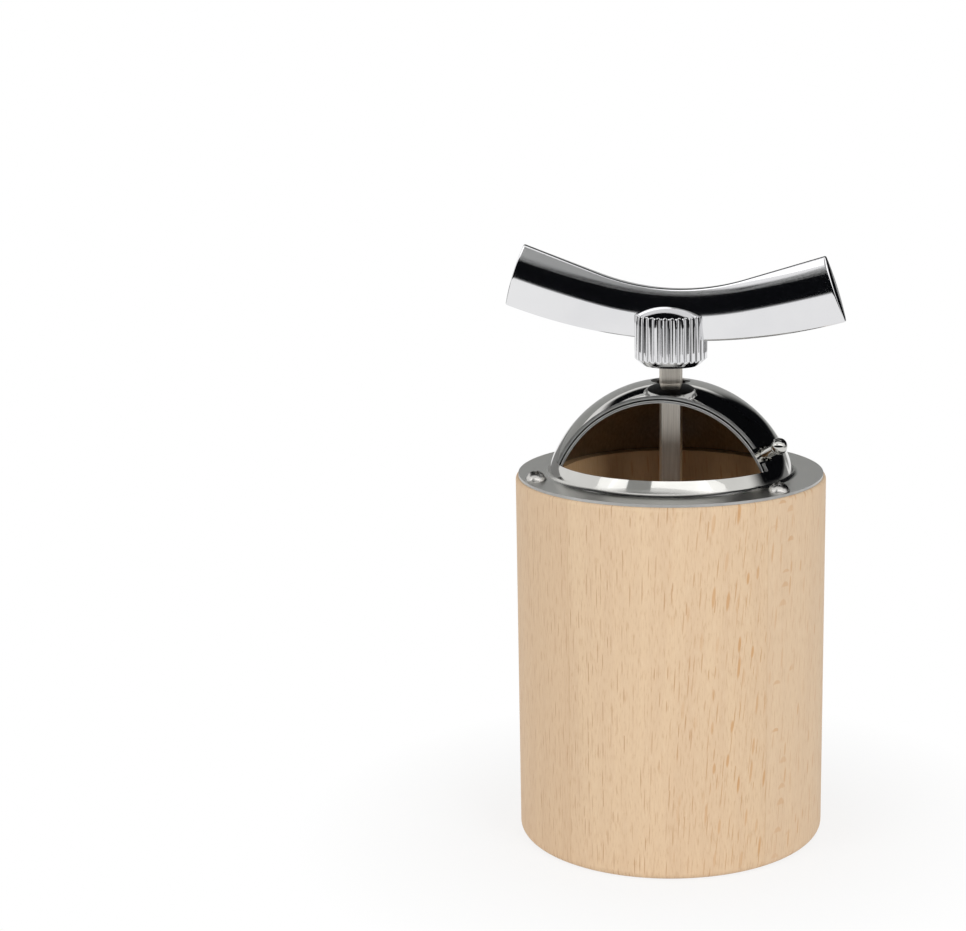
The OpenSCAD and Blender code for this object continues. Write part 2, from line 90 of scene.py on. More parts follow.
# Sizes of this dressing alone, in millimetres
SHEET_EDGE = 0.2                    # rounding of the cut edges of the sheets
SETTLE = 0.28                       # how far a sheet's vertices may slide to meet a cut
SLIVER = 0.06                       # vertices closer than this are merged after a cut
WELD = 0.002                        # vertices closer than this are one where a spin closes
ON_PLANE = 0.001                    # vertices closer than this to a cut lie on it
HUB_EDGE = 0.3                      # rounding of the hub's lower edge
WING_EDGE = 0.5                     # rounding of the wing's long edges
WING_EDGE_SINK = 0.75               # how deep that rounding's middle lies, in parts of its radius
WING_EDGE_TURN = 0.9                # how much of the face's slope the rounding takes up
WING_END_EDGE = 0.3                 # rounding of the wing's ends

# Places worked out from them
TOP_Z = BODY_H + SHEET
DOME_C = TOP_Z + DOME_H - DOME_R
SHUTTER_R = DOME_R - SHEET - SHUTTER_GAP
SHUTTER_FOOT = BODY_H + SHUTTER_FOOT_GAP
HUB_Z = TOP_Z + DOME_H + HUB_LIFT
WING_Z = HUB_Z + HUB_H - WING_SINK
LIP_Z = TOP_Z + LIP_H

# Mesh steps
TURN_STEPS = 240
DOME_STEPS = 56
BEND_STEPS = 10
FLANGE_STEPS = 5
SHEET_EDGE_STEPS = 3
KNOB_TURN_STEPS = 64
KNOB_STEM_STEPS = 6
KNOB_BALL_STEPS = 24
FLUTE_STEPS = 12
HUB_EDGE_STEPS = 4
HUB_CHAMFER_STEPS = 8
HUB_SIDE_STEPS = 5
HUB_CROWN_STEPS = 24
WING_COLUMNS = 120
WING_FACE_STEPS = 22
WING_EDGE_STEPS = 6
WING_END_STEPS = 4
WING_SLANT_ROUNDS = 5

# Angles in degrees: edges sharper than these are rounded, or stay sharp in the shading
SHEET_SHARP = 40
SHEET_CREASE = 35
KNOB_CREASE = 35
HUB_CREASE = 40
WING_SHARP = 50
WING_CREASE = 50

# Other angles in degrees
ON_SPHERE = 14                      # faces turned less than this from a sphere's normal lie on it
HUB_RIM_TURN = 0.5                  # the crown starts this far inside the hub's rim


# Modelling


def deselect():
    """Nothing selected, in object mode."""
    if bpy.context.object and bpy.context.object.mode != "OBJECT":
        bpy.ops.object.mode_set(mode="OBJECT")
    bpy.ops.object.select_all(action="DESELECT")


def select(piece):
    """This piece alone selected and active."""
    deselect()
    bpy.context.view_layer.objects.active = piece
    piece.select_set(True)


def select_faces(piece, chosen):
    """Edit mode, with the faces selected whose centre, in mm, is chosen."""
    select(piece)
    bpy.ops.object.mode_set(mode="EDIT")
    bpy.ops.mesh.select_mode(type="FACE")
    bpy.ops.mesh.select_all(action="DESELECT")
    bpy.ops.object.mode_set(mode="OBJECT")
    for face in piece.data.polygons:
        face.select = chosen(face.center / MM)
    bpy.ops.object.mode_set(mode="EDIT")


def arc(cx, cy, r, start, end, steps):
    """Points on an arc, angles in degrees."""
    angles = [math.radians(start + (end - start) * i / steps) for i in range(steps + 1)]
    return [(cx + r * math.cos(a), cy + r * math.sin(a)) for a in angles]


def line(start, end, steps):
    """Points on a straight stretch, without its start."""
    return [tuple(a + (b - a) * i / steps for a, b in zip(start, end)) for i in range(1, steps + 1)]


def turned(name, profile, steps):
    """A profile of (radius, height) points in mm, drawn by extruding a vertex and spun round the axis."""
    deselect()
    bpy.ops.mesh.primitive_plane_add(size=MM)
    piece = bpy.context.object
    piece.name = name
    bpy.ops.object.mode_set(mode="EDIT")
    bpy.ops.mesh.select_mode(type="VERT")
    bpy.ops.mesh.select_all(action="SELECT")
    bpy.ops.mesh.merge(type="CENTER")
    bpy.ops.transform.translate(value=(profile[0][0] * MM, 0, profile[0][1] * MM))
    for (r0, z0), (r1, z1) in zip(profile, profile[1:]):
        bpy.ops.mesh.extrude_region_move(
            TRANSFORM_OT_translate={"value": ((r1 - r0) * MM, 0, (z1 - z0) * MM)})
    bpy.ops.mesh.select_all(action="SELECT")
    bpy.ops.mesh.spin(steps=steps, angle=2 * math.pi, center=(0, 0, 0), axis=(0, 0, 1))
    bpy.ops.mesh.select_all(action="SELECT")
    bpy.ops.mesh.remove_doubles(threshold=WELD * MM)
    bpy.ops.mesh.normals_make_consistent(inside=False)
    bpy.ops.object.mode_set(mode="OBJECT")
    return piece


def settle(piece, radius, point, normal):
    """Slides a dome's vertices that lie close to a plane on to it, along the sphere, so that a cut
    there leaves no slivers."""
    centre = Vector((0, 0, DOME_C))
    rise = (point - centre).dot(normal)
    middle = centre + normal * rise
    circle_r = math.sqrt(radius ** 2 - rise ** 2)
    for vertex in piece.data.vertices:
        place = vertex.co / MM
        off = (place - middle).dot(normal)
        on_sphere = abs((place - centre).length - radius) < SLIVER
        if on_sphere and abs(off) < SETTLE:
            vertex.co = (middle + (place - normal * off - middle).normalized() * circle_r) * MM


def split(piece, point, normal, near):
    """Cuts the faces near a place along a plane, given in mm."""
    select_faces(piece, near)
    bpy.ops.mesh.bisect(plane_co=point * MM, plane_no=normal, threshold=ON_PLANE * MM)
    bpy.ops.object.mode_set(mode="OBJECT")


def remove(piece, inside):
    """Deletes the faces whose centre, in mm, lies inside."""
    select_faces(piece, inside)
    bpy.ops.mesh.delete(type="FACE")
    bpy.ops.mesh.select_mode(type="VERT")
    bpy.ops.mesh.select_all(action="SELECT")
    bpy.ops.mesh.remove_doubles(threshold=SLIVER * MM)
    bpy.ops.object.mode_set(mode="OBJECT")


def finish_with(piece, kind, **settings):
    """Adds a modifier and applies it."""
    select(piece)
    modifier = piece.modifiers.new(kind.title(), kind)
    for key, value in settings.items():
        setattr(modifier, key, value)
    bpy.ops.object.modifier_apply(modifier=modifier.name)


def round_edges(piece, width, segments, angle):
    """Rounds the edges sharper than an angle."""
    finish_with(piece, "BEVEL", width=width * MM, segments=segments, limit_method="ANGLE",
                angle_limit=math.radians(angle))


def smooth(piece, angle):
    """Smooth shading, with edges sharper than an angle kept."""
    select(piece)
    bpy.ops.object.shade_smooth_by_angle(angle=math.radians(angle))


def stands_for(piece, node, body):
    """The piece takes a node's place on its body."""
    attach(piece, body)
    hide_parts(node)


# Materials


# Sockets of a colour mix
SHARE, LOWER, UPPER, BLEND = 0, 6, 7, 2

# Axes along which metal is drawn or rolled
ACROSS, UP = 0, 2
LINE_STRETCH = 0.03                 # their lines' width as a share of their length


def colour(code):
    """sRGB hex to linear RGBA."""
    parts = [int(code[i:i + 2], 16) / 255 for i in (0, 2, 4)]
    return [c / 12.92 if c <= 0.04045 else ((c + 0.055) / 1.055) ** 2.4 for c in parts] + [1.0]


def add(tree, kind, links=None, out=0, **settings):
    """Adds one node, links or sets its inputs, and returns one of its outputs."""
    node = tree.nodes.new(kind)
    for key, value in settings.items():
        setattr(node, key, value)
    for key, value in (links or {}).items():
        if isinstance(value, bpy.types.NodeSocket):
            tree.links.new(value, node.inputs[key])
        else:
            node.inputs[key].default_value = value
    return node.outputs[out]


def material(name):
    """A new material with its tree and its shader."""
    made = bpy.data.materials.new(name)
    made.use_nodes = True
    return made, made.node_tree, made.node_tree.nodes["Principled BSDF"]


def polished_metal(name, light, dark, rough, smear, wipe_mm, dull=0.0):
    """Buffed metal: nearly a mirror, with faint wiping marks. Dull is the roughness that the wheel
    leaves on the flat flange and in the bend beside it, which it reaches least."""
    made, tree, shader = material(name)
    place = add(tree, "ShaderNodeTexCoord", out="Object")
    wipe = add(tree, "ShaderNodeTexNoise", {"Vector": place, "Scale": 1 / (wipe_mm * MM), "Detail": 4.0})
    tone = add(tree, "ShaderNodeMapRange", {"Value": wipe, "From Min": 0.3, "From Max": 0.7})
    tint = add(tree, "ShaderNodeMix", {SHARE: tone, LOWER: colour(dark), UPPER: colour(light)}, BLEND,
               data_type="RGBA")
    tree.links.new(tint, shader.inputs["Base Color"])
    gloss = add(tree, "ShaderNodeMapRange", {"Value": wipe, "From Min": 0.35, "From Max": 0.75,
                                             "To Min": rough, "To Max": rough + smear})
    height = add(tree, "ShaderNodeSeparateXYZ", {"Vector": place}, out="Z")
    reach = add(tree, "ShaderNodeMapRange", {"Value": height, "From Min": TOP_Z * MM, "To Min": dull,
                                             "From Max": (TOP_Z + BEND_R) * MM, "To Max": 0.0})
    level = add(tree, "ShaderNodeMath", {0: gloss, 1: reach}, operation="ADD")
    tree.links.new(level, shader.inputs["Roughness"])
    shader.inputs["Metallic"].default_value = 1.0
    return made


def drawn_metal(name, light, dark, rough, along, line_mm, bump):
    """Drawn, rolled or pressed metal: fine lines along one axis, softer gloss."""
    made, tree, shader = material(name)
    place = add(tree, "ShaderNodeTexCoord", out="Object")
    stretch = [1 / (line_mm * MM) * (LINE_STRETCH if i == along else 1.0) for i in range(3)]
    lines = add(tree, "ShaderNodeMapping", {"Vector": place, "Scale": stretch})
    streak = add(tree, "ShaderNodeTexNoise", {"Vector": lines, "Scale": 1.0, "Detail": 5.0})
    tone = add(tree, "ShaderNodeMapRange", {"Value": streak, "From Min": 0.3, "From Max": 0.7})
    tint = add(tree, "ShaderNodeMix", {SHARE: tone, LOWER: colour(dark), UPPER: colour(light)}, BLEND,
               data_type="RGBA")
    tree.links.new(tint, shader.inputs["Base Color"])
    level = add(tree, "ShaderNodeMapRange", {"Value": streak, "To Min": rough - 0.08,
                                             "To Max": rough + 0.1})
    tree.links.new(level, shader.inputs["Roughness"])
    relief = add(tree, "ShaderNodeBump", {"Height": streak, "Strength": bump, "Distance": 0.02 * MM})
    tree.links.new(relief, shader.inputs["Normal"])
    shader.inputs["Metallic"].default_value = 1.0
    return made


def grained(name, light, dark, rough, grain_mm, metallic, bump):
    """Moulded, cast, sintered or hardened surface: fine even grain and soft gloss."""
    made, tree, shader = material(name)
    place = add(tree, "ShaderNodeTexCoord", out="Object")
    grain = add(tree, "ShaderNodeTexNoise", {"Vector": place, "Scale": 1 / (grain_mm * MM),
                                             "Detail": 6.0})
    tone = add(tree, "ShaderNodeMapRange", {"Value": grain, "From Min": 0.35, "From Max": 0.65})
    tint = add(tree, "ShaderNodeMix", {SHARE: tone, LOWER: colour(dark), UPPER: colour(light)}, BLEND,
               data_type="RGBA")
    tree.links.new(tint, shader.inputs["Base Color"])
    relief = add(tree, "ShaderNodeBump", {"Height": grain, "Strength": bump, "Distance": 0.05 * MM})
    tree.links.new(relief, shader.inputs["Normal"])
    shader.inputs["Roughness"].default_value = rough
    shader.inputs["Metallic"].default_value = metallic
    return made


def fibre_streaks(tree, across, height, width, length, detail):
    """Noise drawn out upright, its streaks width by length in mm."""
    u = add(tree, "ShaderNodeMath", {0: across, 1: width}, operation="DIVIDE")
    v = add(tree, "ShaderNodeMath", {0: height, 1: length}, operation="DIVIDE")
    at = add(tree, "ShaderNodeCombineXYZ", {"X": u, "Y": v})
    return add(tree, "ShaderNodeTexNoise", {"Vector": at, "Scale": 1.0, "Detail": detail,
                                            "Roughness": 0.6})


def ray_flecks(tree, across, height, cell, half, shift, arch):
    """One lens shaped fleck in each cell. Cell and half, the fleck's half width and half height, are in
    mm; shift moves the cells sideways, counted in cells, and arch bows the fleck's ends down."""
    u = add(tree, "ShaderNodeMath", {0: across, 1: 1 / cell[0], 2: shift}, operation="MULTIPLY_ADD")
    v = add(tree, "ShaderNodeMath", {0: height, 1: cell[1]}, operation="DIVIDE")
    at = add(tree, "ShaderNodeCombineXYZ", {"X": u, "Y": v})
    found = add(tree, "ShaderNodeTexVoronoi", {"Vector": at, "Scale": 1.0, "Randomness": 1.0},
                voronoi_dimensions="2D", feature="F1").node.outputs
    away = add(tree, "ShaderNodeVectorMath", {0: at, 1: found["Position"]}, operation="SUBTRACT")
    off = add(tree, "ShaderNodeSeparateXYZ", {"Vector": away}).node.outputs
    luck = add(tree, "ShaderNodeSeparateXYZ", {"Vector": found["Color"]}).node.outputs
    side = add(tree, "ShaderNodeMath", {0: off["X"], 1: cell[0] / half[0]}, operation="MULTIPLY")
    side_sq = add(tree, "ShaderNodeMath", {0: side, 1: side}, operation="MULTIPLY")
    tall = half[1] / cell[1]
    stretch = add(tree, "ShaderNodeMapRange", {"Value": luck["Y"], "To Min": 0.5 * tall,
                                               "To Max": 1.3 * tall})
    rise = add(tree, "ShaderNodeMath", {0: off["Y"], 1: stretch}, operation="DIVIDE")
    bowed = add(tree, "ShaderNodeMath", {0: side_sq, 1: arch, 2: rise}, operation="MULTIPLY_ADD")
    reach = add(tree, "ShaderNodeMath", {0: bowed, 1: bowed, 2: side_sq}, operation="MULTIPLY_ADD")
    shape = add(tree, "ShaderNodeMapRange", {"Value": reach, "From Min": 1.0, "From Max": 0.2},
                interpolation_type="SMOOTHSTEP")
    depth = add(tree, "ShaderNodeMapRange", {"Value": luck["X"], "From Min": 0.15, "From Max": 0.9},
                interpolation_type="SMOOTHSTEP")
    return add(tree, "ShaderNodeMath", {0: shape, 1: depth}, operation="MULTIPLY")


# Figure of the beech, in mm; places run round the body from +X, in front from left to right
SWAY = 2.4                          # how far the fibre wanders sideways
SWAY_RUN = 36.0                     # over what length
BROAD_FROM, BROAD_FULL = -62.0, -26.0  # where the flecks begin to lean and turn orange
STOUT_FROM, STOUT_FULL = -52.0, -34.0  # where the stout flecks set in
FLECK_LEAN = -0.10                  # sideways for each mm of height
CURLS_AT = -21.3                    # middle of the column of curls
CURLS_FULL, CURLS_END = 2.0, 4.4    # how far from it they are full, and gone
THIN_STRENGTH = 0.55
BOLD_STRENGTH = 0.62
SEAM_ANGLES = (-119.3, -43.5, 28.0, 100.0, 172.0)  # the glued joints, in degrees from +X
BARE_AND_SHADED_FROM, BARE_AND_SHADED_FULL = 4.5, 0.5   # bare wood's own tone with painted shade, outwards from the hopper's wall


def beech():
    """Steamed beech, turned and lightly sealed: pale pinkish tan, fine upright fibre, short brown ray
    flecks that grow broader and more orange towards the right, and staves that meet on faint glue lines."""
    made, tree, shader = material("steamed_beech")
    place = add(tree, "ShaderNodeTexCoord", out="Object")
    axes = add(tree, "ShaderNodeSeparateXYZ", {"Vector": place}).node.outputs
    turn = add(tree, "ShaderNodeMath", {0: axes["Y"], 1: axes["X"]}, operation="ARCTAN2")
    around = add(tree, "ShaderNodeMath", {0: turn, 1: BODY_R}, operation="MULTIPLY")
    height = add(tree, "ShaderNodeMath", {0: axes["Z"], 1: 1 / MM}, operation="MULTIPLY")

    # Each coat lays a colour over the wood where a value lies between two limits, up to a strength
    wood = colour("E0C3A2")

    def coat(value, low, high, strength, tone):
        share = add(tree, "ShaderNodeMapRange", {"Value": value, "From Min": low, "From Max": high,
                                                 "To Max": strength}, interpolation_type="SMOOTHSTEP")
        return add(tree, "ShaderNodeMix", {SHARE: share, LOWER: wood, UPPER: tone}, BLEND,
                   data_type="RGBA")

    # Fibre: hair-fine upright streaks over soft bands a few millimetres wide
    wander = add(tree, "ShaderNodeTexNoise", {"Vector": place, "Scale": 1 / (SWAY_RUN * MM), "Detail": 1.0})
    swayed = add(tree, "ShaderNodeMath", {0: wander, 1: SWAY, 2: around}, operation="MULTIPLY_ADD")
    fibre = fibre_streaks(tree, swayed, height, width=0.34, length=2.6, detail=4.0)
    bands = fibre_streaks(tree, swayed, height, width=3.6, length=60.0, detail=2.0)
    wood = coat(bands, low=0.30, high=0.72, strength=1.0, tone=colour("E6CAA8"))
    wood = coat(fibre, low=0.48, high=0.76, strength=0.7, tone=colour("CDA983"))
    wood = coat(fibre, low=0.46, high=0.22, strength=0.55, tone=colour("EED7BA"))

    # Ray flecks: thin ones all over, stout ones to the right, and a column of curls by the second seam
    broad = add(tree, "ShaderNodeMapRange", {"Value": around, "From Min": BROAD_FROM,
                                             "From Max": BROAD_FULL}, interpolation_type="SMOOTHSTEP")
    lean = add(tree, "ShaderNodeMath", {0: broad, 1: FLECK_LEAN}, operation="MULTIPLY")
    leaning = add(tree, "ShaderNodeMath", {0: lean, 1: height, 2: around}, operation="MULTIPLY_ADD")
    thin = ray_flecks(tree, leaning, height, cell=(1.15, 6.4), half=(0.13, 2.9), shift=0.0, arch=0.0)
    stout = ray_flecks(tree, leaning, height, cell=(3.0, 8.0), half=(0.36, 2.6), shift=7.3, arch=0.0)
    curls = ray_flecks(tree, leaning, height, cell=(4.2, 5.0), half=(1.35, 0.8), shift=2.1, arch=1.0)
    to_right = add(tree, "ShaderNodeMapRange", {"Value": around, "From Min": STOUT_FROM,
                                                "From Max": STOUT_FULL}, interpolation_type="SMOOTHSTEP")
    stout = add(tree, "ShaderNodeMath", {0: stout, 1: to_right}, operation="MULTIPLY")
    from_column = add(tree, "ShaderNodeMath", {0: around, 1: CURLS_AT}, operation="SUBTRACT")
    from_column = add(tree, "ShaderNodeMath", {0: from_column}, operation="ABSOLUTE")
    in_column = add(tree, "ShaderNodeMapRange", {"Value": from_column, "From Min": CURLS_END,
                                                 "From Max": CURLS_FULL}, interpolation_type="SMOOTHSTEP")
    curls = add(tree, "ShaderNodeMath", {0: curls, 1: in_column}, operation="MULTIPLY")
    fleck_tone = add(tree, "ShaderNodeMix", {SHARE: broad, LOWER: colour("B07F58"),
                                             UPPER: colour("C48F5A")}, BLEND, data_type="RGBA")
    thin_share = add(tree, "ShaderNodeMath", {0: thin, 1: THIN_STRENGTH}, operation="MULTIPLY")
    wood = add(tree, "ShaderNodeMix", {SHARE: thin_share, LOWER: wood, UPPER: fleck_tone}, BLEND,
               data_type="RGBA")
    bold = add(tree, "ShaderNodeMath", {0: stout, 1: curls}, operation="MAXIMUM")
    bold = add(tree, "ShaderNodeMath", {0: bold, 1: BOLD_STRENGTH}, operation="MULTIPLY")
    wood = add(tree, "ShaderNodeMix", {SHARE: bold, LOWER: wood, UPPER: colour("CB9257")}, BLEND,
               data_type="RGBA")

    # Staves: a faint line at each glued joint, and another tone beyond the two joints in front
    seams = [math.radians(a) * BODY_R for a in SEAM_ANGLES]
    for seam in seams:
        gap = add(tree, "ShaderNodeMath", {0: around, 1: seam}, operation="SUBTRACT")
        gap = add(tree, "ShaderNodeMath", {0: gap}, operation="ABSOLUTE")
        wood = coat(gap, low=0.28, high=0.06, strength=0.28, tone=colour("CBA880"))
    left, right = seams[:2]
    wood = coat(around, low=left + 0.1, high=left - 0.1, strength=0.2, tone=colour("D8B795"))
    wood = coat(around, low=right - 0.1, high=right + 0.1, strength=0.3, tone=colour("E4CBAE"))

    # Inside the hopper the wood is bare, a little warmer and darker in its own tone, and painted shade
    # darkens it further
    from_axis = add(tree, "ShaderNodeVectorMath", {0: place, 1: (1 / MM, 1 / MM, 0.0)},
                    operation="MULTIPLY")
    radius = add(tree, "ShaderNodeVectorMath", {0: from_axis}, "Value", operation="LENGTH")
    bare_and_shaded = add(tree, "ShaderNodeMix", {SHARE: 1.0, LOWER: wood, UPPER: colour("EFE2CC")}, BLEND,
                data_type="RGBA", blend_type="MULTIPLY")
    wood = coat(radius, low=HOPPER_R + BARE_AND_SHADED_FROM, high=HOPPER_R + BARE_AND_SHADED_FULL, strength=1.0, tone=bare_and_shaded)
    tree.links.new(wood, shader.inputs["Base Color"])

    gloss = add(tree, "ShaderNodeMapRange", {"Value": fibre, "To Min": 0.52, "To Max": 0.68})
    tree.links.new(gloss, shader.inputs["Roughness"])
    marks = add(tree, "ShaderNodeMath", {0: thin, 1: stout}, operation="MAXIMUM")
    depth = add(tree, "ShaderNodeMath", {0: fibre, 1: 0.5}, operation="MULTIPLY")
    depth = add(tree, "ShaderNodeMath", {0: depth, 1: marks}, operation="SUBTRACT")
    relief = add(tree, "ShaderNodeBump", {"Height": depth, "Strength": 0.2, "Distance": 0.03 * MM})
    tree.links.new(relief, shader.inputs["Normal"])
    shader.inputs["Specular IOR Level"].default_value = 0.28
    return made


BEECH = beech()
# Stainless sheet: a bright mirror on the dome, hazier on the flange, satin where it was sheared, and grey
# as pressed inside
POLISHED = polished_metal("polished_stainless_sheet", "D0CFCB", "C6C5C1",
                          rough=0.045, smear=0.05, wipe_mm=9.0, dull=0.24)
SHEARED = polished_metal("sheared_stainless_edge", "C6C6C4", "B6B6B4",
                         rough=0.30, smear=0.06, wipe_mm=2.0)
PRESSED = drawn_metal("pressed_stainless_sheet", "B9B5AE", "A39F98",
                      rough=0.36, along=UP, line_mm=0.5, bump=0.15)
# Chrome on cast zinc: the clearest mirror, a little blue. The hub's underside is dark dull grey, painted
# shade under the hub that the dome mirrors
CHROME = polished_metal("bright_chrome_plate", "E6E6E7", "DEDEE0",
                        rough=0.05, smear=0.03, wipe_mm=14.0)
SHADE_UNDER_HUB = grained("painted_shade_under_hub", "4A4A4C", "3C3C3F", rough=0.5, grain_mm=0.4, metallic=1.0, bump=0.3)
# Zinc plated screws: bright but blurred
PLATED = polished_metal("bright_zinc_plate", "D6D4D0", "C4C2BF",
                        rough=0.22, smear=0.10, wipe_mm=1.2)
# Plain steels: drawn lines on bar and wire, rolled lines on plate
# The shaft's pale cream is painted light: lighter than the steel itself, for the light that falls on it
# through the window
SHAFT_PAINTED_LIGHT = drawn_metal("drawn_steel_bar_painted_light", "F3EDE3", "D9D2C7",
                    rough=0.42, along=UP, line_mm=0.25, bump=0.3)
ROLLED = drawn_metal("rolled_steel_plate", "B5B4B1", "96958F",
                     rough=0.38, along=ACROSS, line_mm=0.35, bump=0.3)
WIRE = drawn_metal("spring_wire", "8C8C90", "6E6E73",
                   rough=0.35, along=UP, line_mm=0.3, bump=0.2)
# Burrs darken in the hardening oil
HARDENED = grained("hardened_burr_steel", "66666A", "4A4A4E",
                   rough=0.42, grain_mm=0.5, metallic=1.0, bump=0.35)
# Bushes: dark moulded plastic above, warm porous bronze below
ACETAL = grained("brown_acetal", "34241B", "261913", rough=0.45, grain_mm=0.6, metallic=0.0, bump=0.2)
BRONZE = grained("sintered_bronze", "A57A48", "86602F",
                 rough=0.45, grain_mm=0.35, metallic=1.0, bump=0.4)

for name, finish in {
    "wood_body": BEECH, "cover_screws": PLATED, "dome_bush": ACETAL, "drive_shaft": SHAFT_PAINTED_LIGHT,
    "shaft_bridge": ROLLED, "bridge_bush": BRONZE, "bridge_screws": PLATED, "thrust_washer": ROLLED,
    "shaft_clip": WIRE, "spring_seat": ROLLED, "burr_spring": WIRE, "turning_burr": HARDENED,
    "burr_washer": ROLLED, "burr_nut": PLATED, "fixed_burr": HARDENED, "burr_keys": ROLLED,
    "base_ring": ROLLED, "base_screws": PLATED,
}.items():
    nodes[name].data.materials.clear()
    nodes[name].data.materials.append(finish)


# Cover, shutter and knob

window_normal = Vector((0, math.cos(WINDOW_LEAN), -math.sin(WINDOW_LEAN)))
window_point = Vector((0, -WINDOW_Y, LIP_Z))
shutter_point = window_point - Vector((0, REVEAL, 0))

knob_polar = math.acos((KNOB_Z + TOP_Z - DOME_C) / DOME_R)
knob_y = WINDOW_Y - (KNOB_Z - LIP_H) * math.tan(WINDOW_LEAN) - KNOB_BACK
knob_turn = -math.asin(knob_y / (DOME_R * math.sin(knob_polar)))
knob_frame = (Matrix.Translation((0, 0, DOME_C)) @ Matrix.Rotation(knob_turn, 4, "Z")
              @ Matrix.Rotation(knob_polar, 4, "Y"))


def behind(point, place):
    """How far a place lies behind a plane that leans as the window does."""
    return (place - point).dot(window_normal)


def shade_as_sphere(piece, radii):
    """Gives the faces that lie on a dome's spheres the spheres' own normals, so that they mirror evenly."""
    mesh = piece.data
    facing = math.cos(math.radians(ON_SPHERE))
    normals = [corner.vector.copy() for corner in mesh.corner_normals]
    for face in mesh.polygons:
        for corner in face.loop_indices:
            out = mesh.vertices[mesh.loops[corner].vertex_index].co / MM - Vector((0, 0, DOME_C))
            ray = out.normalized()
            along = face.normal.dot(ray)
            if abs(along) > facing and min(abs(out.length - r) for r in radii) < SLIVER:
                normals[corner] = ray if along > 0 else -ray
    mesh.normals_split_custom_set(normals)


def thicken(piece, radius, thickness, point, notch=None):
    """Gives a pressed sheet its thickness inwards: polished outside, left as pressed inside, with flat
    satin edges where it was sheared."""
    for finish in (POLISHED, PRESSED, SHEARED):
        piece.data.materials.append(finish)
    finish_with(piece, "SOLIDIFY", thickness=thickness * MM, offset=-1.0, use_even_offset=True,
                material_offset=1, material_offset_rim=2)
    settle(piece, radius - thickness, point, window_normal)
    round_edges(piece, SHEET_EDGE, SHEET_EDGE_STEPS, SHEET_SHARP)
    if notch:
        finish_with(piece, "BOOLEAN", object=notch, operation="DIFFERENCE", solver="EXACT")
    smooth(piece, SHEET_CREASE)
    finish_with(piece, "WEIGHTED_NORMAL", mode="FACE_AREA", keep_sharp=True)
    shade_as_sphere(piece, (radius, radius - thickness))


def dome_cover():
    """The cover as one pressed sheet, cut for the window, given its thickness and notched for the knob."""
    bend_z = TOP_Z + BEND_R
    bend_x = math.sqrt((DOME_R + BEND_R) ** 2 - (bend_z - DOME_C) ** 2)
    foot = math.degrees(math.atan2(bend_z - DOME_C, bend_x))
    top = math.degrees(math.acos(HOLE_R / DOME_R))
    profile = arc(0, DOME_C, DOME_R, top, foot, DOME_STEPS)
    profile += arc(bend_x, bend_z, BEND_R, 180 + foot, 270, BEND_STEPS)[1:]
    profile += line((bend_x, TOP_Z), (FLANGE_R, TOP_Z), FLANGE_STEPS)
    piece = turned("dome_cover_sheet", profile, TURN_STEPS)

    settle(piece, DOME_R, window_point, window_normal)
    split(piece, window_point, window_normal, lambda c: c.z > TOP_Z + SHEET)
    split(piece, window_point, Vector((0, 0, 1)), lambda c: behind(window_point, c) < 0)
    remove(piece, lambda c: behind(window_point, c) < 0 and c.z > LIP_Z)

    # The notch's block runs from behind the knob out through the window's edge
    deselect()
    bpy.ops.mesh.primitive_cube_add(size=1)
    notch = bpy.context.object
    middle = Matrix.Translation((0, (NOTCH - NOTCH_RUN) / 2, DOME_R))
    block = middle @ Matrix.Diagonal((NOTCH, NOTCH_RUN, NOTCH_RUN, 1))
    notch.matrix_world = Matrix.Scale(MM, 4) @ knob_frame @ block
    thicken(piece, DOME_R, SHEET, window_point, notch)
    bpy.data.objects.remove(notch)
    return piece


def shutter():
    """The inner dome, cut by its own plane just in front of the window's edge."""
    top = math.degrees(math.acos((HOLE_R + SHUTTER_HOLE_GAP) / SHUTTER_R))
    low = math.degrees(math.asin((SHUTTER_FOOT - DOME_C) / SHUTTER_R))
    piece = turned("shutter_sheet", arc(0, DOME_C, SHUTTER_R, top, low, DOME_STEPS), TURN_STEPS)
    settle(piece, SHUTTER_R, shutter_point, window_normal)
    split(piece, shutter_point, window_normal, lambda c: True)
    remove(piece, lambda c: behind(shutter_point, c) < 0)
    thicken(piece, SHUTTER_R, SHUTTER_SHEET, shutter_point)
    return piece


def shutter_knob():
    """Turned ball knob with its stem and its riveted tail inside the shutter."""
    inner = SHUTTER_R - SHUTTER_SHEET
    tail_end = inner - KNOB_TAIL_T - SHEET_EDGE
    ball = DOME_R + KNOB_REACH
    neck = math.degrees(math.asin(KNOB_R / KNOB_HEAD_R))
    chamfer = 2 * SHEET_EDGE
    profile = [(0, tail_end), (KNOB_TAIL_R - chamfer, tail_end), (KNOB_TAIL_R, tail_end + chamfer)]
    profile += [(KNOB_TAIL_R, inner - SHEET_EDGE), (KNOB_R, inner - SHEET_EDGE)]
    profile += line((KNOB_R, inner), (KNOB_R, ball - KNOB_HEAD_R), KNOB_STEM_STEPS)
    profile += arc(0, ball, KNOB_HEAD_R, neck - 90, 90, KNOB_BALL_STEPS)
    piece = turned("shutter_ball_knob", profile, KNOB_TURN_STEPS)
    piece.matrix_world = Matrix.Scale(MM, 4) @ knob_frame @ Matrix.Scale(1 / MM, 4)
    select(piece)
    bpy.ops.object.transform_apply(location=True, rotation=True, scale=True)
    piece.data.materials.append(POLISHED)
    smooth(piece, KNOB_CREASE)
    return piece


stands_for(dome_cover(), "dome_cover", "case")
stands_for(shutter(), "shutter", "shutter")
stands_for(shutter_knob(), "shutter_knob", "shutter")


# Hub and wing


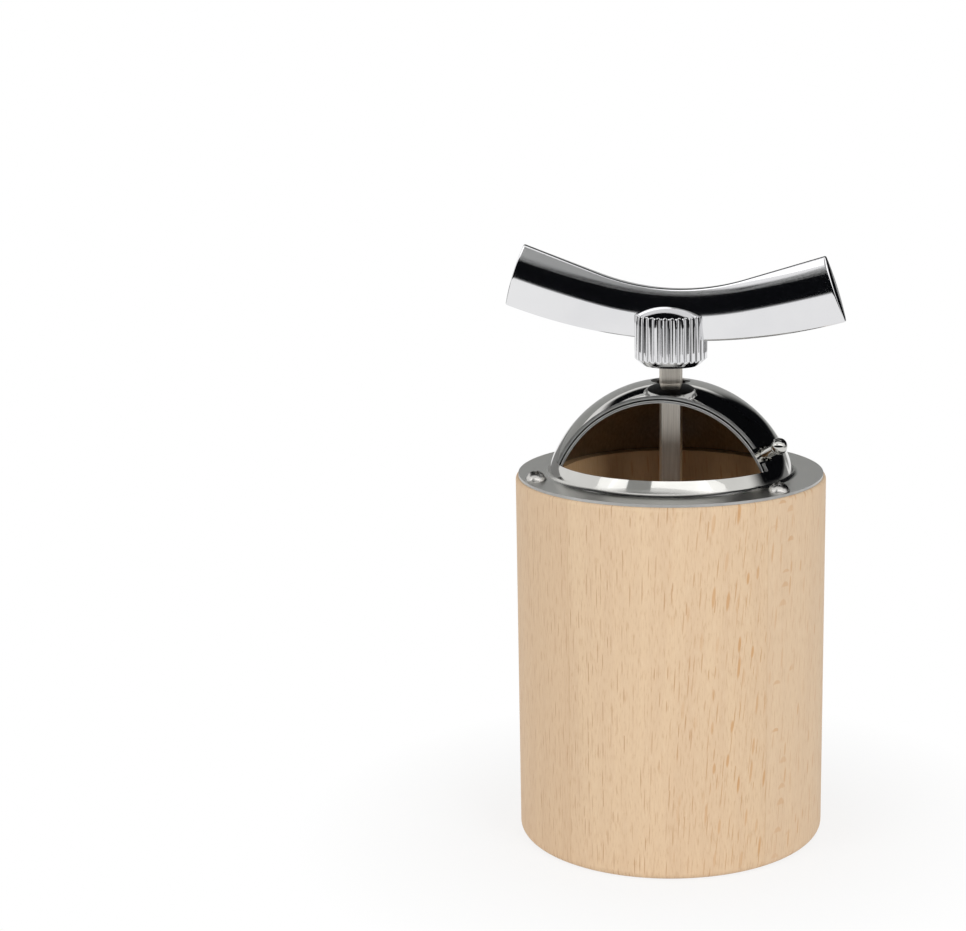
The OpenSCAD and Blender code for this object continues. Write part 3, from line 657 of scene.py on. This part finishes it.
def fluted_hub():
    """The hub turned with a chamfered foot and a domed top, then fluted all round."""
    crown_r = (HUB_R ** 2 + HUB_CROWN ** 2) / (2 * HUB_CROWN)
    crown_z = HUB_Z + HUB_H + HUB_CROWN - crown_r
    crown_edge = math.degrees(math.acos(HUB_R / crown_r))
    foot_r = HUB_R - HUB_CHAMFER
    shoulder_z = HUB_Z + HUB_CHAMFER
    profile = [(0, HUB_Z), (foot_r / 2, HUB_Z)]
    profile += arc(foot_r - HUB_EDGE, HUB_Z + HUB_EDGE, HUB_EDGE, -90, -45, HUB_EDGE_STEPS)
    profile += line((foot_r, HUB_Z), (HUB_R, shoulder_z), HUB_CHAMFER_STEPS)[1:]
    profile += line((HUB_R, shoulder_z), (HUB_R, HUB_Z + HUB_H - HUB_EDGE), HUB_SIDE_STEPS)
    profile += arc(0, crown_z, crown_r, crown_edge + HUB_RIM_TURN, 90, HUB_CROWN_STEPS)
    piece = turned("fluted_hub_body", profile, FLUTES * FLUTE_STEPS)
    pitch = 2 * math.pi / FLUTES
    # Flutes: what lies outside their round hollows is drawn in to them
    for vertex in piece.data.vertices:
        x, y, z = vertex.co / MM
        r = math.hypot(x, y)
        if r < foot_r:
            continue
        aside = (((math.atan2(y, x) - CRANK_REST) / pitch + 0.5) % 1.0 - 0.5) * pitch * HUB_R
        depth = math.sqrt(max(0.0, FLUTE_R ** 2 - aside ** 2)) - (FLUTE_R - FLUTE_DEPTH)
        limit = HUB_R - max(0.0, depth)
        if r > limit:
            vertex.co = Vector((x * limit / r, y * limit / r, z)) * MM
    piece.data.materials.append(CHROME)
    piece.data.materials.append(SHADE_UNDER_HUB)
    # The flat underside takes the dark dull grey: painted shade under the hub
    for face in piece.data.polygons:
        if face.center.z < (HUB_Z + SLIVER) * MM:
            face.material_index = 1
    smooth(piece, HUB_CREASE)
    return piece


def wing_edges(s):
    """Heights of the wing's lower and upper edge above its lowest point, at s mm from its middle."""
    low = WING_LOW_R - math.sqrt(WING_LOW_R ** 2 - s ** 2)
    flank_x = WING_TOP_R * math.sin(WING_FLANK)
    round_x = min(abs(s), flank_x)
    high = WING_TOP_R - math.sqrt(WING_TOP_R ** 2 - round_x ** 2)
    return low, WING_H + high + (abs(s) - round_x) * math.tan(WING_FLANK)


def wing_section(half_h):
    """Closed outline of the wing's section as (height, thickness) points: two bulging faces and
    rounded edges."""
    def face(h):
        return WING_T / 2 - WING_FACE_R + math.sqrt(WING_FACE_R ** 2 - h ** 2)

    tilt = math.degrees(math.asin(half_h / WING_FACE_R))
    inset_h = half_h - WING_EDGE
    inset_t = face(half_h) - WING_EDGE * WING_EDGE_SINK
    turns = [math.pi * (i / WING_FACE_STEPS - 0.5) for i in range(WING_FACE_STEPS + 1)]
    front = [(inset_h * math.sin(a), face(inset_h * math.sin(a))) for a in turns]
    upper = arc(inset_h, inset_t, WING_EDGE, 90 - tilt * WING_EDGE_TURN, 0, WING_EDGE_STEPS)[1:]
    half = [(-h, t) for h, t in reversed(upper)] + front + upper
    return half + [(h, -t) for h, t in reversed(half)]


def wing_handle():
    """The bow: a tube of rings, each drawn out to the bulging section between the two long edges."""
    corners = len(wing_section(WING_H / 2))
    deselect()
    bpy.ops.mesh.primitive_circle_add(vertices=corners, radius=MM, fill_type="NGON",
                                      rotation=(0, math.pi / 2, 0))
    piece = bpy.context.object
    piece.name = "wing_handle_bow"
    bpy.ops.object.transform_apply(location=True, rotation=True, scale=True)
    first = min(math.atan2(v.co.y, v.co.z) for v in piece.data.vertices)
    bpy.ops.object.mode_set(mode="EDIT")
    bpy.ops.mesh.select_all(action="SELECT")
    bpy.ops.transform.translate(value=(-MM, 0, 0))
    for _ in range(WING_COLUMNS):
        bpy.ops.mesh.extrude_region_move(TRANSFORM_OT_translate={"value": (2 * MM / WING_COLUMNS, 0, 0)})
    bpy.ops.object.mode_set(mode="OBJECT")

    foot_x = WING_HALF + wing_edges(WING_HALF)[1] * WING_SLANT
    pitch = 2 * math.pi / corners
    sections = {}
    for vertex in piece.data.vertices:
        share = vertex.co.x / MM
        corner = round((math.atan2(vertex.co.y, vertex.co.z) - first) / pitch) % corners
        column = round(share * WING_COLUMNS)
        if column not in sections:
            low, high = wing_edges(share * (foot_x + WING_HALF) / 2)
            sections[column] = (high - low) / 2, wing_section((high - low) / 2)
        half_h, section = sections[column]
        h, t = section[corner]
        # The ends slant, so a point's place along the wing depends on its height, found in a few rounds
        z = WING_H / 2
        for _ in range(WING_SLANT_ROUNDS):
            s = share * (foot_x - z * WING_SLANT)
            low, high = wing_edges(s)
            z = (low + high) / 2 + h / half_h * (high - low) / 2
        vertex.co = Vector((s, t, WING_Z + z)) * MM
    piece.rotation_euler = (0, 0, CRANK_REST)
    bpy.ops.object.transform_apply(location=True, rotation=True, scale=True)
    bpy.ops.object.mode_set(mode="EDIT")
    bpy.ops.mesh.select_all(action="SELECT")
    bpy.ops.mesh.normals_make_consistent(inside=False)
    bpy.ops.object.mode_set(mode="OBJECT")
    round_edges(piece, WING_END_EDGE, WING_END_STEPS, WING_SHARP)
    piece.data.materials.append(CHROME)
    smooth(piece, WING_CREASE)
    return piece


stands_for(fluted_hub(), "fluted_hub", "crank")
stands_for(wing_handle(), "wing_handle", "crank")


# Studio

WHITE = (1, 1, 1, 1)
SOFT = 0.16                         # share of a velvet card's size over which its edges fade
AIR_LIGHT = 0.56                    # light of the white room on the object
SHADOW_NEAR = 0.04                  # the mill's shadow shows fully up to here, in metres from the axis
SHADOW_FAR = 0.085                  # and the table is plain white from here on
PAPER_GLOW = 0.80                   # share of plain white in the table where the shadow shows
TABLE_SIZE = 8.0
LAMP_SIZE = 0.55
LAMP_AIM = Vector((0, 0, 0.06))
UPRIGHT = math.radians(90)

scene = bpy.context.scene
scene.view_settings.view_transform = "Standard"


def background_rays(tree):
    """1 where the background is seen, directly or in metal, and 0 where it lights the object."""
    rays = add(tree, "ShaderNodeLightPath").node.outputs
    seen = add(tree, "ShaderNodeMath", {0: rays["Is Camera Ray"], 1: rays["Is Glossy Ray"]},
               operation="MAXIMUM")
    return add(tree, "ShaderNodeMath", {0: seen, 1: rays["Is Transmission Ray"]}, operation="MAXIMUM")


def white_room():
    """White air all round, dimmer as a light than as a background."""
    world = bpy.data.worlds.new("studio_air")
    scene.world = world
    world.use_nodes = True
    air = world.node_tree
    strength = add(air, "ShaderNodeMapRange", {"Value": background_rays(air), "To Min": AIR_LIGHT,
                                               "To Max": 1.0})
    air.nodes["Background"].inputs["Color"].default_value = WHITE
    air.links.new(strength, air.nodes["Background"].inputs["Strength"])


def paper(name, code):
    """Matt paper or cloth for the studio."""
    made, tree, shader = material(name)
    shader.inputs["Base Color"].default_value = colour(code)
    shader.inputs["Roughness"].default_value = 1.0
    shader.inputs["Specular IOR Level"].default_value = 0.0
    return made, tree, shader


def table_top():
    """White paper that keeps the object's shadow close to its foot and is plain white further out."""
    deselect()
    bpy.ops.mesh.primitive_plane_add(size=TABLE_SIZE)
    made = bpy.context.object
    made.name = "table_top"
    white, tree, shader = paper("matt_white_paper", "F4F4F4")
    place = add(tree, "ShaderNodeTexCoord", out="Object")
    far = add(tree, "ShaderNodeVectorMath", {0: place}, "Value", operation="LENGTH")
    plain = add(tree, "ShaderNodeMapRange", {"Value": far, "From Min": SHADOW_NEAR,
                                             "From Max": SHADOW_FAR, "To Min": PAPER_GLOW, "To Max": 1.0})
    share = add(tree, "ShaderNodeMath", {0: background_rays(tree), 1: plain}, operation="MULTIPLY")
    glow = add(tree, "ShaderNodeEmission", {"Color": WHITE, "Strength": 1.0})
    sheet = add(tree, "ShaderNodeMixShader", {0: share, 1: shader.outputs[0], 2: glow})
    tree.links.new(sheet, tree.nodes["Material Output"].inputs["Surface"])
    made.data.materials.append(white)
    return made


def velvet():
    """Black cloth whose edges fade out, so that its reflections end softly."""
    made, tree, shader = paper("black_velvet", "121316")
    place = add(tree, "ShaderNodeTexCoord", out="Object")
    axes = add(tree, "ShaderNodeSeparateXYZ", {"Vector": place}).node.outputs
    full = 0.5 - SOFT / (1 + SOFT)
    cover = 1.0
    for side in ("X", "Y"):
        off = add(tree, "ShaderNodeMath", {0: axes[side]}, operation="ABSOLUTE")
        inside = add(tree, "ShaderNodeMapRange", {"Value": off, "From Min": 0.5, "From Max": full},
                     interpolation_type="SMOOTHSTEP")
        cover = add(tree, "ShaderNodeMath", {0: inside, 1: cover}, operation="MULTIPLY")
    clear = add(tree, "ShaderNodeBsdfTransparent")
    cloth = add(tree, "ShaderNodeMixShader", {0: cover, 1: clear, 2: shader.outputs[0]})
    tree.links.new(cloth, tree.nodes["Material Output"].inputs["Surface"])
    return made


def card(name, size, location, rotation, cloth):
    """A studio card that only reflections see. Its size reaches to the middle of the velvet's fading
    edges; paper, which doesn't fade, comes out larger by the same share."""
    deselect()
    bpy.ops.mesh.primitive_plane_add(size=1.0, location=location, rotation=rotation)
    made = bpy.context.object
    made.name = name
    made.scale = (size[0] * (1 + SOFT), size[1] * (1 + SOFT), 1)
    made.visible_camera = False
    made.visible_diffuse = False
    made.visible_shadow = False
    made.visible_transmission = False
    made.data.materials.append(cloth)
    return made


def softbox(name, location, power):
    """A large square light aimed at the middle of the mill, left out of reflections."""
    lamp = bpy.data.lights.new(name, "AREA")
    lamp.shape = "SQUARE"
    lamp.size = LAMP_SIZE
    lamp.energy = power
    made = bpy.data.objects.new(name, lamp)
    scene.collection.objects.link(made)
    made.visible_glossy = False
    made.location = location
    aim = LAMP_AIM - Vector(location)
    made.rotation_euler = aim.to_track_quat("-Z", "Y").to_euler()


white_room()
VELVET = velvet()
GREY = paper("grey_paper", "CDCECD")[0]
DIM = paper("dim_paper", "A8A8A8")[0]
BRIGHT, _, lit = paper("lit_white_cloth", "F4F4F4")
lit.inputs["Emission Color"].default_value = WHITE
lit.inputs["Emission Strength"].default_value = 1.0
table_top()
card("front_card", (2.4, 0.33), (0, -0.62, 0.165), (UPRIGHT, 0, 0), VELVET)
card("front_light", (2.6, 0.31), (0, -0.75, 0.64), (UPRIGHT, 0, 0), BRIGHT)
card("side_card", (0.26, 0.34), (-0.25, -0.62, 0.46), (UPRIGHT, 0, 0), GREY)
card("left_low_card", (0.8, 0.11), (-0.42, 0.30, 0.055), (UPRIGHT, 0, UPRIGHT), DIM)
card("right_low_card", (0.8, 0.11), (0.42, 0.30, 0.055), (UPRIGHT, 0, UPRIGHT), DIM)
card("right_card", (1.7, 0.98), (0.75, 0.95, 0.61), (UPRIGHT, 0, UPRIGHT), VELVET)
card("corner_card", (2.38, 1.53), (1.41, 1.85, 0.985), (UPRIGHT, 0, 0), VELVET)
card("top_card", (1.95, 1.5), (0.075, 0.55, 0.85), (0, 0, 0), VELVET)
card("back_card", (3.1, 0.86), (-1.0, 1.9, 0.50), (UPRIGHT, 0, 0), GREY)
softbox("key", (-0.75, -0.85, 0.62), 3.9)
softbox("fill", (0.85, -0.75, 0.55), 4.6)

# The photograph's viewpoint: a little to the right and above, the object right of the picture's middle
CAMERA_REACH = 0.4347
CAMERA_Z = 0.1756
CAMERA_SWING = math.radians(10)
CAMERA_TILT = math.radians(12.07)
CAMERA_LENS = 75.48
CAMERA_SHIFT = -0.1945
SENSOR = 36.0

view = bpy.data.cameras.new("camera")
view.lens = CAMERA_LENS
view.sensor_width = SENSOR
view.shift_x = CAMERA_SHIFT
camera = bpy.data.objects.new("camera", view)
scene.collection.objects.link(camera)
camera.location = (CAMERA_REACH * math.sin(CAMERA_SWING), -CAMERA_REACH * math.cos(CAMERA_SWING),
                   CAMERA_Z)
camera.rotation_euler = (UPRIGHT - CAMERA_TILT, 0, CAMERA_SWING)
scene.camera = camera
